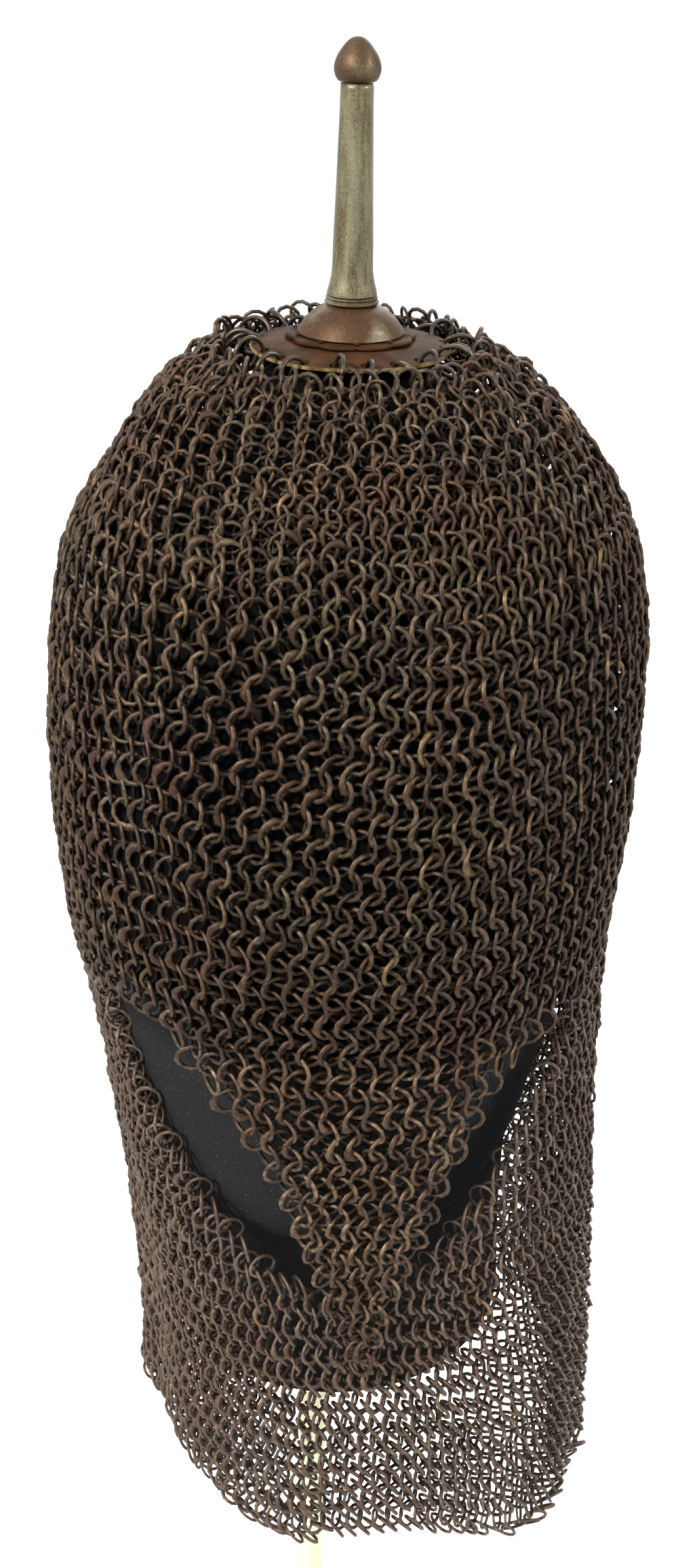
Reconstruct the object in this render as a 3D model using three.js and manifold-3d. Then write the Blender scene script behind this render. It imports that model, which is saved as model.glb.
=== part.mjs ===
// A chainmail hood on a head form. A round crown plate carries a plume holder. Open rings through
// holes round its rim hang the mail: the crown, the pointed face flap and the neck curtain, which
// closes under the chin. Below are the egg-shaped form, its neck, a pole and a round base.
// Millimetres, +Z up, the front faces -Y, and the origin is the middle of the base's underside.
// A drop is a depth below the mail's upper rim in front. A turn is an angle round the hood from
// the front, positive towards +X.

import * as THREE from 'three';
import { mergeVertices } from 'three/addons/utils/BufferGeometryUtils.js';
import Module from 'manifold-3d';

const wasm = await Module();
wasm.setup();

// Driving dimensions

const rimTop = 715;
const plateRadius = 28.5;
const plateThickness = 1;
const plateLift = 1.3;
const plateDome = 2;
const seam = 0.3;
const mailWall = 3;
const flapTipDrop = 302;
const splitDrop = 178;
const openingDrop = 269;
const hemDrop = 404;
const chinTurn = -4;
const backSeamTurn = 125;
const rimRise = 3;
const rimRiseFade = 10;
const hangerCount = 20;
const hangerWire = 1.24;
const hangerRadius = 5.3;
const hangerGap = 26;
const hangerGapTurn = -50;
const hangerDip = 2;
const hangerSwing = 20;
const holeRadius = 1.25;
const holeInset = 2;
const formTopDrop = plateThickness + seam - plateLift - plateDome;
const formUnderDrop = 273;
const neckBottomDrop = 350;
const poleRadius = 5.25;
const poleOffset = -4;
const poleInNeck = 25;
const poleInBase = 7;
const baseRadius = 108;
const baseThickness = 10;

// Sections of the mail hood: half widths and depths at each drop, and how square its two front
// corners are, where 2 is an ellipse. The ripple is the depth of the soft folds.

const hoodColumns = ['drop', 'left', 'right', 'front', 'back', 'leftCorner', 'rightCorner', 'ripple'];
const hoodRows = [
  [0, 40, 40, 40, 40, 2, 2, 0],
  [7, 51, 52, 48, 50, 2, 2, 0],
  [17, 60.5, 64, 59, 60, 2, 2, 0],
  [32, 70.3, 76, 71, 72, 2, 2, 0],
  [50, 81.5, 86, 82, 84, 2, 2, 0],
  [75, 88, 91.8, 91, 94, 2, 2, 0],
  [105, 90.8, 93.4, 98, 101, 2, 2, 0],
  [140, 91, 92.6, 101, 104, 2, 2.05, 0.2],
  [178, 88, 90.3, 99, 102, 2, 2.1, 0.5],
  [215, 81, 89.7, 97, 96, 2, 2.3, 1],
  [250, 77, 90.3, 95, 91, 2, 2.6, 1.5],
  [285, 74, 92.4, 93, 88, 1.95, 2.9, 2],
  [320, 72.6, 94.2, 92, 87, 1.8, 3.2, 2.4],
  [360, 71.8, 96.3, 91, 88, 1.7, 3.45, 2.7],
  [405, 74, 98, 90, 90, 1.57, 3.65, 3],
];

// Folds round the hood: how many, and the turn from the front at which they start.

const foldCount = 9;
const foldFree = 50;

// Side edges of the face flap and front edges of the curtain, as turns at each drop.

const flapColumns = ['drop', 'left', 'right', 'standOff'];
const flapRows = [
  [splitDrop, -50, 49, 0],
  [180, -34, 46, 0.4],
  [186, -26, 39.5, 1],
  [194, -21, 31.5, 1.8],
  [203, -17, 25.5, 2.6],
  [212, -14, 23, 3.3],
  [224, -10, 19.8, 4],
  [240, -5.8, 14.5, 4.6],
  [258, -1.8, 9.3, 4.8],
  [278, 0.5, 6, 4.9],
  [flapTipDrop, 2.8, 4.6, 4.9],
];

const openingColumns = ['drop', 'left', 'right'];
const openingRows = [
  [splitDrop, -50.2, 49.2],
  [192, -48.5, 41.5],
  [206, -45, 37.5],
  [220, -40, 32],
  [232, -33.5, 25],
  [243, -26.5, 18.5],
  [253, -20, 12.5],
  [262, -14, 6.5],
  [openingDrop, chinTurn, chinTurn],
  [hemDrop, chinTurn, chinTurn],
];

// Sections of the head form.

const formColumns = ['drop', 'side', 'front', 'back'];
const formRows = [
  [formTopDrop, 7, 7, 7],
  [2.6, 17, 17, 17],
  [10.8, 31, 31, 32],
  [22, 46, 47, 49],
  [34, 59, 61, 63],
  [50, 72, 73, 75],
  [75, 81.5, 84, 87],
  [105, 85, 91.5, 95],
  [140, 85.5, 95, 98],
  [178, 82, 93.5, 95],
  [215, 74.5, 90.5, 87],
  [235, 70.5, 88.5, 80],
  [250, 67, 86, 74],
  [262, 63, 80.5, 68],
  [269, 60, 73, 64.5],
  [formUnderDrop, 57, 64, 61],
];

// Turned parts: radii, and heights above the mail's rim. The plate's are above its own rim.

const plateProfile = [[19.5, plateDome], [24, 1.3], [plateRadius, 0]];
const bellProfile = [[15.2, 5], [14.6, 6.2], [13.9, 7.1], [12.9, 8.3], [11.1, 10.2], [9.1, 11.6], [7.1, 12.5]];
const collarProfile = [[7.1, 12.8], [7.7, 13.4], [7.6, 14.3], [7.1, 14.9]];
const stemProfile = [[7, 15.2], [6.7, 16.8], [6.1, 19], [5.7, 22], [5.5, 30], [4.95, 46.5], [4.4, 69]];
const knobProfile = [[4.7, 69.3], [5.6, 70.2], [6.2, 71.8], [6.15, 73], [5.4, 75.4], [3.9, 77.7], [1.9, 79.4],
  [0, 80]];
const neckProfile = [[62, 0], [61.5, 8], [62, 40], [64, neckBottomDrop - formUnderDrop - seam]];
const neckOffset = [2, -1];

const flangePetals = 10;
const flangeTurn = 6;
const flangeTip = 18.5;
const flangeNotch = 17.1;
const flangeThickness = 1.1;
const rivetRadius = 0.7;
const rivetHeight = 0.5;
const rivetCircle = 16.2;

const radians = THREE.MathUtils.degToRad;

// Tables: each row becomes an object with named values, and a cubic runs between the rows.

function table(columns, rows) {
  return rows.map((row) => Object.fromEntries(columns.map((name, at) => [name, row[at]])));
}

function slopeAt(rows, at, name) {
  const before = rows[Math.max(at - 1, 0)];
  const after = rows[Math.min(at + 1, rows.length - 1)];
  return (after[name] - before[name]) / (after.drop - before.drop);
}

function between(rows, drop, name) {
  let at = rows.findIndex((row) => row.drop > drop) - 1;
  if (at === -2) at = rows.length - 2;
  at = Math.max(at, 0);
  const [low, high] = [rows[at], rows[at + 1]];
  const step = high.drop - low.drop;
  const part = Math.min(Math.max((drop - low.drop) / step, 0), 1);
  const square = part * part;
  const cube = square * part;
  return (2 * cube - 3 * square + 1) * low[name] + (cube - 2 * square + part) * step * slopeAt(rows, at, name)
    + (3 * square - 2 * cube) * high[name] + (cube - square) * step * slopeAt(rows, at + 1, name);
}

const hood = table(hoodColumns, hoodRows);
const flap = table(flapColumns, flapRows);
const opening = table(openingColumns, openingRows);
const form = table(formColumns, formRows);

// The mail's outer surface, with its soft folds and the rim that rises behind the plate.

function hoodPoint(turn, drop, standOff = 0) {
  const angle = radians(turn);
  const [s, c] = [Math.sin(angle), Math.cos(angle)];
  const width = between(hood, drop, s < 0 ? 'left' : 'right');
  const depth = between(hood, drop, c > 0 ? 'front' : 'back');
  const square = c > 0 ? between(hood, drop, s < 0 ? 'leftCorner' : 'rightCorner') : 2;
  const bend = (value) => Math.sign(value) * Math.abs(value) ** (2 / square);
  const fade = THREE.MathUtils.smoothstep(Math.abs(turn > 180 ? turn - 360 : turn), foldFree, foldFree * 1.6);
  const fold = between(hood, drop, 'ripple') * fade * Math.cos(foldCount * angle);
  const point = new THREE.Vector3(bend(s) * width, -bend(c) * depth, 0);
  point.setLength(point.length() + fold + standOff);
  const rise = rimRise * (1 - c) / 2 * Math.exp(-Math.max(drop, 0) / rimRiseFade);
  point.z = rimTop - drop + rise;
  return point;
}

// The way out of the mail, level but for the top of the crown, so that panels meet at their seams.

function hoodOutward(turn, drop) {
  const along = hoodPoint(turn + 0.5, drop).sub(hoodPoint(turn - 0.5, drop));
  const down = hoodPoint(turn, drop + 0.5).sub(hoodPoint(turn, drop - 0.5));
  const outward = down.cross(along).normalize();
  outward.z *= 1 - THREE.MathUtils.smoothstep(drop, splitDrop / 2, splitDrop - 20);
  return outward.normalize();
}

// A closed wall on a grid of places on the hood: the inner points lie one wall's thickness inside.

function wallGeometry(grid, wraps) {
  const rows = grid.length;
  const columns = grid[0].length;
  const positions = [];
  for (const depth of [0, mailWall]) {
    for (const { turn, drop, standOff } of grid.flat()) {
      const point = hoodPoint(turn, drop, standOff).addScaledVector(hoodOutward(turn, drop), -depth);
      positions.push(point.x, point.y, point.z);
    }
  }
  const index = [];
  const vertex = (side, row, column) => side * rows * columns + row * columns + (column % columns);
  const quad = (a, b, c, d) => index.push(a, b, c, a, c, d);
  const lastColumn = wraps ? columns : columns - 1;
  for (let row = 0; row < rows - 1; row += 1) {
    for (let column = 0; column < lastColumn; column += 1) {
      quad(vertex(0, row, column), vertex(0, row + 1, column), vertex(0, row + 1, column + 1),
        vertex(0, row, column + 1));
      quad(vertex(1, row, column), vertex(1, row, column + 1), vertex(1, row + 1, column + 1),
        vertex(1, row + 1, column));
    }
  }
  for (let column = 0; column < lastColumn; column += 1) {
    quad(vertex(0, 0, column), vertex(0, 0, column + 1), vertex(1, 0, column + 1), vertex(1, 0, column));
    quad(vertex(0, rows - 1, column), vertex(1, rows - 1, column), vertex(1, rows - 1, column + 1),
      vertex(0, rows - 1, column + 1));
  }
  for (let row = 0; row < rows - 1 && !wraps; row += 1) {
    const end = columns - 1;
    quad(vertex(0, row, 0), vertex(1, row, 0), vertex(1, row + 1, 0), vertex(0, row + 1, 0));
    quad(vertex(0, row, end), vertex(0, row + 1, end), vertex(1, row + 1, end), vertex(1, row, end));
  }
  const geometry = new THREE.BufferGeometry();
  geometry.setAttribute('position', new THREE.Float32BufferAttribute(positions, 3));
  geometry.setIndex(index);
  geometry.computeVertexNormals();
  return geometry;
}

// A grid of places between the two edges of a panel, row by row.

function panelGrid(levels, columns, leftEdge, rightEdge, standOffAt) {
  return levels.map((drop) => {
    const row = [];
    for (let column = 0; column <= columns; column += 1) {
      const turn = THREE.MathUtils.lerp(leftEdge(drop), rightEdge(drop), column / columns);
      row.push({ turn, drop, standOff: standOffAt(drop) });
    }
    return row;
  });
}

function crownGeometry() {
  const drops = [0, 5, 11, 19, 30, 44, 62, 84, 108, 132, 156, splitDrop];
  const columns = 48;
  const grid = drops.map((drop) => {
    const row = [];
    for (let column = 0; column < columns; column += 1) {
      row.push({ turn: column * 360 / columns, drop, standOff: 0 });
    }
    return row;
  });
  return wallGeometry(grid, true);
}

function flapGeometry() {
  const levels = flap.map((row) => Math.max(row.drop, splitDrop + seam));
  const edge = (side) => (level) => between(flap, level, side);
  const grid = panelGrid(levels, 12, edge('left'), edge('right'), edge('standOff'));
  return wallGeometry(grid, false);
}

function curtainGeometry(leftEdge, rightEdge, levels, columns) {
  return wallGeometry(panelGrid(levels, columns, leftEdge, rightEdge, () => 0), false);
}

const sideLevels = [splitDrop + seam, 192, 206, 220, 232, 243, 253, 262, openingDrop, 295, 322, 349, 376,
  hemDrop];
const backLevels = [splitDrop + seam, 210, 242, 274, 306, 338, 370, hemDrop];
const halfSeam = THREE.MathUtils.radToDeg(seam / 2 / 88);

function formGeometry() {
  const columns = 32;
  const positions = [];
  const index = [];
  for (const { drop, side, front, back } of form) {
    for (let column = 0; column < columns; column += 1) {
      const angle = column * 2 * Math.PI / columns;
      const depth = Math.cos(angle) > 0 ? front : back;
      positions.push(side * Math.sin(angle), -depth * Math.cos(angle), rimTop - drop);
    }
  }
  for (let row = 0; row < form.length - 1; row += 1) {
    for (let column = 0; column < columns; column += 1) {
      const next = (column + 1) % columns;
      const [a, b] = [row * columns + column, row * columns + next];
      index.push(a, a + columns, b + columns, a, b + columns, b);
    }
  }
  const last = (form.length - 1) * columns;
  for (let column = 1; column < columns - 1; column += 1) {
    index.push(0, column, column + 1);
    index.push(last, last + column + 1, last + column);
  }
  const geometry = new THREE.BufferGeometry();
  geometry.setAttribute('position', new THREE.Float32BufferAttribute(positions, 3));
  geometry.setIndex(index);
  geometry.computeVertexNormals();
  return geometry;
}

// Turned pieces stand on Z: a lathe turns about Y, so it is tipped up.

function turned(profile, segments) {
  const points = profile.map(([radius, height]) => new THREE.Vector2(radius, height));
  const onAxis = (point) => new THREE.Vector2(0, point.y);
  const closed = [onAxis(points[0]), ...points.filter((point) => point.x > 0), onAxis(points.at(-1))];
  return new THREE.LatheGeometry(closed, segments).rotateX(Math.PI / 2);
}

function disc(radius, bottom, top, segments) {
  return turned([[radius, bottom], [radius, top]], segments);
}

function solid(geometry) {
  const bare = geometry.clone();
  bare.deleteAttribute('normal');
  bare.deleteAttribute('uv');
  const merged = mergeVertices(bare, 1e-4);
  const kept = [];
  const corners = merged.index.array;
  for (let at = 0; at < corners.length; at += 3) {
    const [a, b, c] = corners.slice(at, at + 3);
    if (a !== b && b !== c && c !== a) kept.push(a, b, c);
  }
  return new wasm.Manifold(new wasm.Mesh({
    numProp: 3,
    vertProperties: new Float32Array(merged.attributes.position.array),
    triVerts: new Uint32Array(kept),
  }));
}

function surfaceOf(manifold) {
  const mesh = manifold.getMesh();
  const geometry = new THREE.BufferGeometry();
  geometry.setAttribute('position', new THREE.BufferAttribute(new Float32Array(mesh.vertProperties), 3));
  geometry.setIndex(new THREE.BufferAttribute(new Uint32Array(mesh.triVerts), 1));
  geometry.computeVertexNormals();
  return geometry;
}

// The holes lie where the hanger rings pass straight down through the plate.

const holeCircle = plateRadius - holeInset;

function hangerTurn(number) {
  return (number + 0.5) * 360 / hangerCount;
}

function plateGeometry() {
  const under = plateProfile.map(([radius, height]) => [radius, height - plateThickness]);
  let plate = solid(turned([...under, ...[...plateProfile].reverse()], 40));
  for (let number = 0; number < hangerCount; number += 1) {
    const angle = radians(hangerTurn(number));
    const drill = disc(holeRadius, -plateThickness - 1, plateDome + 1, 10);
    drill.translate(holeCircle * Math.sin(angle), -holeCircle * Math.cos(angle), 0);
    plate = plate.subtract(solid(drill));
  }
  return surfaceOf(plate);
}

// An open ring of round wire: an arc in an upright plane, with its opening low on the outer side.

function hangerGeometry() {
  const steps = 12;
  const sides = 5;
  const positions = [];
  const index = [];
  for (let step = 0; step <= steps; step += 1) {
    const angle = radians(hangerGapTurn + hangerGap / 2 + step * (360 - hangerGap) / steps);
    for (let side = 0; side < sides; side += 1) {
      const round = side * 2 * Math.PI / sides;
      const reach = hangerRadius + Math.cos(round) * hangerWire / 2;
      positions.push(reach * Math.cos(angle), Math.sin(round) * hangerWire / 2, reach * Math.sin(angle));
    }
  }
  for (let step = 0; step < steps; step += 1) {
    for (let side = 0; side < sides; side += 1) {
      const next = (side + 1) % sides;
      const [a, b] = [step * sides + side, step * sides + next];
      index.push(a, b + sides, a + sides, a, b, b + sides);
    }
  }
  const last = steps * sides;
  for (let side = 1; side < sides - 1; side += 1) {
    index.push(0, side + 1, side);
    index.push(last, last + side, last + side + 1);
  }
  const geometry = new THREE.BufferGeometry();
  geometry.setAttribute('position', new THREE.Float32BufferAttribute(positions, 3));
  geometry.setIndex(index);
  geometry.computeVertexNormals();
  return geometry;
}

function flangeGeometry() {
  const shape = new THREE.Shape();
  const steps = flangePetals * 8;
  for (let step = 0; step < steps; step += 1) {
    const angle = step * 2 * Math.PI / steps;
    const arch = Math.abs(Math.sin(angle * flangePetals / 2)) ** 0.6;
    const reach = THREE.MathUtils.lerp(flangeNotch, flangeTip, arch);
    const [x, y] = [reach * Math.sin(angle), -reach * Math.cos(angle)];
    if (step === 0) shape.moveTo(x, y);
    else shape.lineTo(x, y);
  }
  return new THREE.ExtrudeGeometry(shape, { depth: flangeThickness, bevelEnabled: false });
}

function neckGeometry() {
  const profile = neckProfile.map(([radius, drop]) => [radius, -drop]).reverse();
  const length = neckBottomDrop - formUnderDrop - seam;
  const neck = solid(turned(profile, 32));
  const bore = disc(poleRadius + seam, -length - 1, -length + poleInNeck + seam, 16);
  bore.translate(poleOffset - neckOffset[0], -neckOffset[1], 0);
  return surfaceOf(neck.subtract(solid(bore)));
}

function baseGeometry() {
  const edge = 2;
  const profile = [[baseRadius - 1, 0], [baseRadius, 1], [baseRadius, baseThickness - edge],
    [baseRadius - edge, baseThickness]];
  const plain = solid(turned(profile, 56));
  const bore = disc(poleRadius + seam, baseThickness - poleInBase - seam, baseThickness + 1, 16);
  bore.translate(poleOffset, 0, 0);
  return surfaceOf(plain.subtract(solid(bore)));
}

// Finishes

const finishes = {
  mail: { color: 0x3a2c22, roughness: 0.55, metalness: 0.85 },
  curtain: { color: 0x40322a, roughness: 0.65, metalness: 0.75 },
  plate: { color: 0x4a3828, roughness: 0.5, metalness: 0.8 },
  finial: { color: 0x75705a, roughness: 0.45, metalness: 0.85 },
  knob: { color: 0x64503c, roughness: 0.45, metalness: 0.85 },
  form: { color: 0x17181a, roughness: 0.9, metalness: 0 },
  pole: { color: 0xd8d0b4, roughness: 0.7, metalness: 0 },
  base: { color: 0x1b1c1e, roughness: 0.7, metalness: 0 },
};

const group = new THREE.Group();

function add(name, geometry, finish, x = 0, y = 0, z = 0, turn = 0) {
  const mesh = new THREE.Mesh(geometry, new THREE.MeshStandardMaterial(finishes[finish]));
  mesh.name = name;
  mesh.position.set(x, y, z);
  mesh.rotation.z = turn;
  group.add(mesh);
}

// The mail

add('mail_crown', crownGeometry(), 'mail');
add('mail_face_flap', flapGeometry(), 'mail');
add('mail_curtain_left', curtainGeometry(
  () => -backSeamTurn + halfSeam,
  (level) => Math.min(between(opening, level, 'left'), chinTurn - halfSeam),
  sideLevels,
  14,
), 'curtain');
add('mail_curtain_right', curtainGeometry(
  (level) => Math.max(between(opening, level, 'right'), chinTurn + halfSeam),
  () => backSeamTurn - halfSeam,
  sideLevels,
  14,
), 'curtain');
add('mail_curtain_back', curtainGeometry(
  () => backSeamTurn + halfSeam,
  () => 360 - backSeamTurn - halfSeam,
  backLevels,
  16,
), 'curtain');

// The crown plate, its hanger rings and the plume holder

add('crown_plate', plateGeometry(), 'plate', 0, 0, rimTop + plateLift);

const ringReach = Math.sqrt(hangerRadius ** 2 - hangerDip ** 2);
const plateAtHole = 0.6;
const ringHeight = rimTop + plateLift + plateAtHole - plateThickness / 2 - hangerDip;
for (let number = 0; number < hangerCount; number += 1) {
  const angle = radians(hangerTurn(number));
  const swing = radians(hangerSwing * Math.sin(number * 2.4));
  const [x, y] = [holeCircle * Math.sin(angle), -holeCircle * Math.cos(angle)];
  const direction = angle - Math.PI / 2 + swing;
  const name = `hanger_ring_${String(number + 1).padStart(2, '0')}`;
  add(name, hangerGeometry(), 'mail', x + ringReach * Math.cos(direction), y + ringReach * Math.sin(direction),
    ringHeight, direction);
}

const plateCrown = rimTop + plateLift + plateDome;
add('finial_flange', flangeGeometry(), 'finial', 0, 0, plateCrown + seam, radians(flangeTurn));
for (let number = 0; number < flangePetals; number += 1) {
  const angle = radians(flangeTurn) + number * 2 * Math.PI / flangePetals;
  const head = turned([[rivetRadius, 0], [rivetRadius * 0.75, rivetHeight * 0.7], [0, rivetHeight]], 8);
  add(`flange_rivet_${number + 1}`, head, 'finial', rivetCircle * Math.sin(angle),
    -rivetCircle * Math.cos(angle), plateCrown + flangeThickness + 2 * seam);
}
add('finial_bell', turned(bellProfile, 24), 'finial', 0, 0, rimTop);
add('finial_collar', turned(collarProfile, 24), 'finial', 0, 0, rimTop);
add('finial_stem', turned(stemProfile, 20), 'finial', 0, 0, rimTop);
add('finial_knob', turned(knobProfile, 20), 'knob', 0, 0, rimTop);

// The form and its stand

add('head_form', formGeometry(), 'form');
add('form_neck', neckGeometry(), 'form', neckOffset[0], neckOffset[1], rimTop - formUnderDrop - seam);
const poleTop = rimTop - neckBottomDrop + poleInNeck;
add('pole', disc(poleRadius, baseThickness - poleInBase, poleTop, 16), 'pole', poleOffset, 0, 0);
add('base', baseGeometry(), 'base');

export default group;
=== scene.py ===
import math

import bmesh
import bpy
import numpy as np
from mathutils import Matrix, Vector


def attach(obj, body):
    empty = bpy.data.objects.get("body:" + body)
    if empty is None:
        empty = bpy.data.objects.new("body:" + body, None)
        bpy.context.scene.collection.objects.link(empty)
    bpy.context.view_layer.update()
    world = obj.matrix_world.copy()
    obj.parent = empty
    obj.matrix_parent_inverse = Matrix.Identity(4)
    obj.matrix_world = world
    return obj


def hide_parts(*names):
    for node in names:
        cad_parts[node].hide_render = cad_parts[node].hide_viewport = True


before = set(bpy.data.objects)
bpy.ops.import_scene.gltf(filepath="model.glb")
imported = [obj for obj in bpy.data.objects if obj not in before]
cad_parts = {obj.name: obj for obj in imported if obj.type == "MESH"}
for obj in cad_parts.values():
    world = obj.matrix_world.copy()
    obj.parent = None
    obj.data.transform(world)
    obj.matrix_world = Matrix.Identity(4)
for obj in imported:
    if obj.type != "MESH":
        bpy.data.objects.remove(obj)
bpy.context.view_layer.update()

# The place and the light: a seamless pale floor under a bright tent, as for a catalogue photograph.
# The camera stands close in front, above the plate, and looks down. Sizes are in millimetres, but
# in metres for the lamps and the floor. A drop is a depth below RIM_TOP, the mail's upper edge.

MM = 0.001
RIM_TOP = 715.0
FILM_SIZE = 36.0
FOCAL_PIXELS = 2300
PICTURE_PIXELS = 2311
CAMERA_BACK = 446.0
CAMERA_ABOVE_RIM = 104.0
CAMERA_PITCH = 28.7
CAMERA_ROLL = -1.5
HOOD_MIDDLE = (0, 0, 0.56)
SPOT_WIDTH = 24.0
SPOT_EDGE = 0.6
TENT_STRENGTH = 1.07
FLOOR_HALF = 60.0


def point_camera():
    """Turns the camera down by its pitch and then rolls it about its own line of sight."""
    pitch = math.radians(CAMERA_PITCH)
    roll = math.radians(CAMERA_ROLL)
    ahead = Vector((0, math.cos(pitch), -math.sin(pitch)))
    level_up = Vector((0, math.sin(pitch), math.cos(pitch)))
    level_right = Vector((1, 0, 0))
    up = level_up * math.cos(roll) + level_right * math.sin(roll)
    right = level_right * math.cos(roll) - level_up * math.sin(roll)
    turn = Matrix((right, up, -ahead)).transposed()
    place = Matrix.Translation((0, -CAMERA_BACK * MM, (RIM_TOP + CAMERA_ABOVE_RIM) * MM))
    return place @ turn.to_4x4()


camera_data = bpy.data.cameras.new("camera")
camera_data.lens = FILM_SIZE * FOCAL_PIXELS / PICTURE_PIXELS
camera_data.sensor_width = FILM_SIZE
camera_data.clip_end = 200
camera = bpy.data.objects.new("camera", camera_data)
camera.matrix_world = point_camera()
bpy.context.scene.collection.objects.link(camera)
bpy.context.scene.camera = camera
bpy.context.scene.view_settings.view_transform = "Standard"


def add_light(name, kind, place, size, watts, colour):
    """A lamp of one kind at a place in metres, turned towards the middle of the hood."""
    data = bpy.data.lights.new(name, kind)
    data.energy = watts
    data.color = colour
    if kind == "SPOT":
        data.shadow_soft_size = size / 2
        data.spot_size = math.radians(SPOT_WIDTH)
        data.spot_blend = SPOT_EDGE
    else:
        data.size = size
    lamp = bpy.data.objects.new(name, data)
    lamp.location = place
    way = Vector(HOOD_MIDDLE) - Vector(place)
    lamp.rotation_euler = way.to_track_quat("-Z", "Y").to_euler()
    bpy.context.scene.collection.objects.link(lamp)


add_light("key_light", "SPOT", (-1.5, -1.5, 2.3), 0.5, 470, (1, 0.975, 0.93))
add_light("fill_light", "SPOT", (1.9, -0.6, 1.9), 0.6, 130, (0.95, 0.98, 1))
add_light("back_light", "AREA", (0.3, 1.9, 1.6), 1.4, 22, (1, 1, 1))

world = bpy.data.worlds.new("tent")
world.use_nodes = True
tent = world.node_tree.nodes["Background"].inputs
tent["Color"].default_value = (1, 1, 1, 1)
tent["Strength"].default_value = TENT_STRENGTH
bpy.context.scene.world = world


class Value:
    """A node's output that Python's arithmetic works on: each operation adds its Math node."""

    def __init__(self, finish, socket):
        self.finish = finish
        self.socket = socket

    def _math(self, operation, other):
        return self.finish.node("ShaderNodeMath", {"operation": operation}, {0: self, 1: other})

    def __add__(self, other):
        return self._math("ADD", other)

    def __mul__(self, other):
        return self._math("MULTIPLY", other)

    def __pow__(self, other):
        return self._math("POWER", other)

    __radd__ = __add__
    __rmul__ = __mul__


class Finish:
    """A material that is built up by adding nodes to it."""

    def __init__(self, name):
        self.material = bpy.data.materials.new(name)
        self.material.use_nodes = True
        self.tree = self.material.node_tree
        self.shader = self.tree.nodes["Principled BSDF"]

    def node(self, kind, settings, sockets, output=0):
        """Adds a node: its settings first, a ramp's stops among them, and then its sockets."""
        made = self.tree.nodes.new(kind)
        for name, value in settings.items():
            if name == "stops":
                ramp = made.color_ramp.elements
                while len(ramp) < len(value):
                    ramp.new(0.5)
                for stop, (place, level) in zip(ramp, value):
                    stop.position = place
                    stop.color = (level, level, level, 1)
            else:
                setattr(made, name, value)
        for name, value in sockets.items():
            self._fill(made.inputs[name], value)
        return Value(self, made.outputs[output])

    def _fill(self, socket, value):
        if isinstance(value, Value):
            self.tree.links.new(value.socket, socket)
        else:
            socket.default_value = value

    def surface(self, **values):
        """Sets the shader's own sockets, spaces in their names written as underscores."""
        for name, value in values.items():
            self._fill(self.shader.inputs[name.replace("_", " ")], value)
        return self.material


def place_on_object(finish, scale=(1, 1, 1)):
    """Object coordinates in metres, stretched along each axis by scale."""
    coordinates = finish.node("ShaderNodeTexCoord", {}, {}, "Object")
    return finish.node("ShaderNodeMapping", {}, {"Vector": coordinates, "Scale": scale})


def grain(finish, place, grains_per_metre, detail=3.0, roughness=0.5):
    """Soft noise from 0 to 1 with so many grains to the metre."""
    return finish.node(
        "ShaderNodeTexNoise",
        {},
        {"Vector": place, "Scale": grains_per_metre, "Detail": detail, "Roughness": roughness},
    )


def step(finish, value, low, high):
    """A ramp from 0 at low to 1 at high."""
    stops = [(low, 0), (high, 1)]
    return finish.node("ShaderNodeValToRGB", {"stops": stops}, {"Fac": value})


def blend(finish, share, first, second):
    """The first colour where share is 0 and the second where it is 1."""
    first = first if isinstance(first, Value) else (*first, 1)
    second = second if isinstance(second, Value) else (*second, 1)
    sockets = {0: share, 6: first, 7: second}
    return finish.node("ShaderNodeMix", {"data_type": "RGBA"}, sockets, 2)


def bump(finish, height, depth_mm, strength=1.0):
    """A bump whose full height is depth_mm deep."""
    return finish.node(
        "ShaderNodeBump", {}, {"Height": height, "Distance": depth_mm * MM, "Strength": strength}
    )


def floor_paper():
    """Pale paper with a breath of grain."""
    finish = Finish("floor_paper")
    fibres = grain(finish, place_on_object(finish), 60)
    colour = blend(finish, fibres, (0.965, 0.965, 0.965), (0.98, 0.98, 0.98))
    return finish.surface(Base_Color=colour, Roughness=0.9)


floor_mesh = bpy.data.meshes.new("floor")
floor_corners = [(-FLOOR_HALF, -FLOOR_HALF, 0), (FLOOR_HALF, -FLOOR_HALF, 0),
                 (FLOOR_HALF, FLOOR_HALF, 0), (-FLOOR_HALF, FLOOR_HALF, 0)]
floor_mesh.from_pydata(floor_corners, [], [(0, 1, 2, 3)])
floor_mesh.materials.append(floor_paper())
floor = bpy.data.objects.new("floor", floor_mesh)
bpy.context.scene.collection.objects.link(floor)

# The base: a round steel disc, turned, with a rounded rim and a socket for the pole.
# It is painted matt black and only stands on the table. It isn't in the photograph's view.

BASE_RADIUS = 108.0
BASE_THICKNESS = 10.0
POLE_RADIUS = 5.25
POLE_OFFSET = -4.0
SEAM = 0.3
SLIDE_FROM = 6.0
SLIDE_WIDTH = 60.0


def flow(points, steps):
    """A smooth curve through the points: Catmull-Rom pieces with so many steps for each span."""
    points = np.asarray(points, float)
    padded = np.vstack([2 * points[0] - points[1], points, 2 * points[-1] - points[-2]])
    part = np.linspace(0, 1, steps, endpoint=False)[None, :, None]
    before, start, end, after = (padded[k:len(padded) - 3 + k, None] for k in range(4))
    spans = 0.5 * (
        2 * start
        + (end - before) * part
        + (2 * before - 5 * start + 4 * end - after) * part**2
        + (3 * start - before - 3 * end + after) * part**3
    )
    return np.vstack([spans.reshape(-1, points.shape[1]), points[-1:]])


def stacked(*parts):
    """The arrays spread to one shape and laid side by side along a new last axis."""
    return np.stack(np.broadcast_arrays(*parts), -1)


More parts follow.
